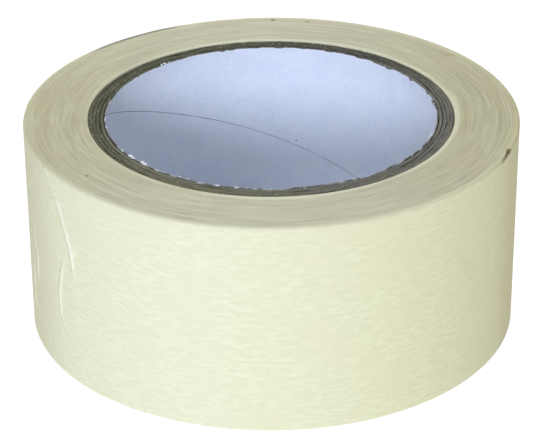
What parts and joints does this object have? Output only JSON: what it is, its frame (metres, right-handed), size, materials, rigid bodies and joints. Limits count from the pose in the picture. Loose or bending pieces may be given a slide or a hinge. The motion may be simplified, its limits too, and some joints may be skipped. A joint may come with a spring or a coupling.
{
  "type": "masking tape roll",
  "caption": "Roll of wide crepe-paper masking tape wound on a spiral paper core, with a free end that peels off the roll.",
  "frame": {"origin": "on the roll's axis, in the plane of the lower wound face that it stands on", "axes": "+Z along the roll's axis, up from the lower wound face to the upper one; the free end of the tape lies on the back of the roll, between 95 and 175 degrees anticlockwise from +X seen from above"},
  "size_m": [0.1138, 0.1139, 0.05],
  "materials": {
    "tape": "matte creped paper, pale cream",
    "chipboard": "matte grey-brown cut chipboard",
    "liner": "matte bluish-white paper"
  },
  "bodies": {
    "roll": {"core_liner": "liner", "core_ply_1": "chipboard", "core_ply_2": "chipboard", "core_ply_3": "chipboard", "core_ply_4": "chipboard", "tape_pack": "tape"},
    "end_1": {"tape_end_1": "tape"},
    "end_2": {"tape_end_2": "tape"},
    "end_3": {"tape_end_3": "tape"},
    "end_4": {"tape_end_4": "tape"},
    "end_5": {"tape_end_5": "tape"},
    "end_6": {"tape_end_6": "tape"},
    "end_7": {"tape_end_7": "tape"},
    "end_8": {"tape_end_8": "tape"}
  },
  "joints": [
    {"name": "peel_1", "type": "hinge", "parent": "roll", "child": "end_1", "pos_m": [-0.00497, 0.05676, 0.025], "axis": [0, 0, -1], "range_deg": [0, 16]},
    {"name": "peel_2", "type": "hinge", "parent": "end_1", "child": "end_2", "pos_m": [-0.01475, 0.05504, 0.025], "axis": [0, 0, -1], "range_deg": [0, 16]},
    {"name": "peel_3", "type": "hinge", "parent": "end_2", "child": "end_3", "pos_m": [-0.02408, 0.05164, 0.025], "axis": [0, 0, -1], "range_deg": [0, 16]},
    {"name": "peel_4", "type": "hinge", "parent": "end_3", "child": "end_4", "pos_m": [-0.03268, 0.04668, 0.025], "axis": [0, 0, -1], "range_deg": [0, 16]},
    {"name": "peel_5", "type": "hinge", "parent": "end_4", "child": "end_5", "pos_m": [-0.0403, 0.0403, 0.025], "axis": [0, 0, -1], "range_deg": [0, 16]},
    {"name": "peel_6", "type": "hinge", "parent": "end_5", "child": "end_6", "pos_m": [-0.04668, 0.03269, 0.025], "axis": [0, 0, -1], "range_deg": [0, 16]},
    {"name": "peel_7", "type": "hinge", "parent": "end_6", "child": "end_7", "pos_m": [-0.05165, 0.02409, 0.025], "axis": [0, 0, -1], "range_deg": [0, 16]},
    {"name": "peel_8", "type": "hinge", "parent": "end_7", "child": "end_8", "pos_m": [-0.05505, 0.01475, 0.025], "axis": [0, 0, -1], "range_deg": [0, 16]}
  ],
  "couplings": [
    {"joint": "peel_2", "follows": "peel_1", "ratio": 1},
    {"joint": "peel_3", "follows": "peel_1", "ratio": 1},
    {"joint": "peel_4", "follows": "peel_1", "ratio": 1},
    {"joint": "peel_5", "follows": "peel_1", "ratio": 1},
    {"joint": "peel_6", "follows": "peel_1", "ratio": 1},
    {"joint": "peel_7", "follows": "peel_1", "ratio": 1},
    {"joint": "peel_8", "follows": "peel_1", "ratio": 1}
  ]
}
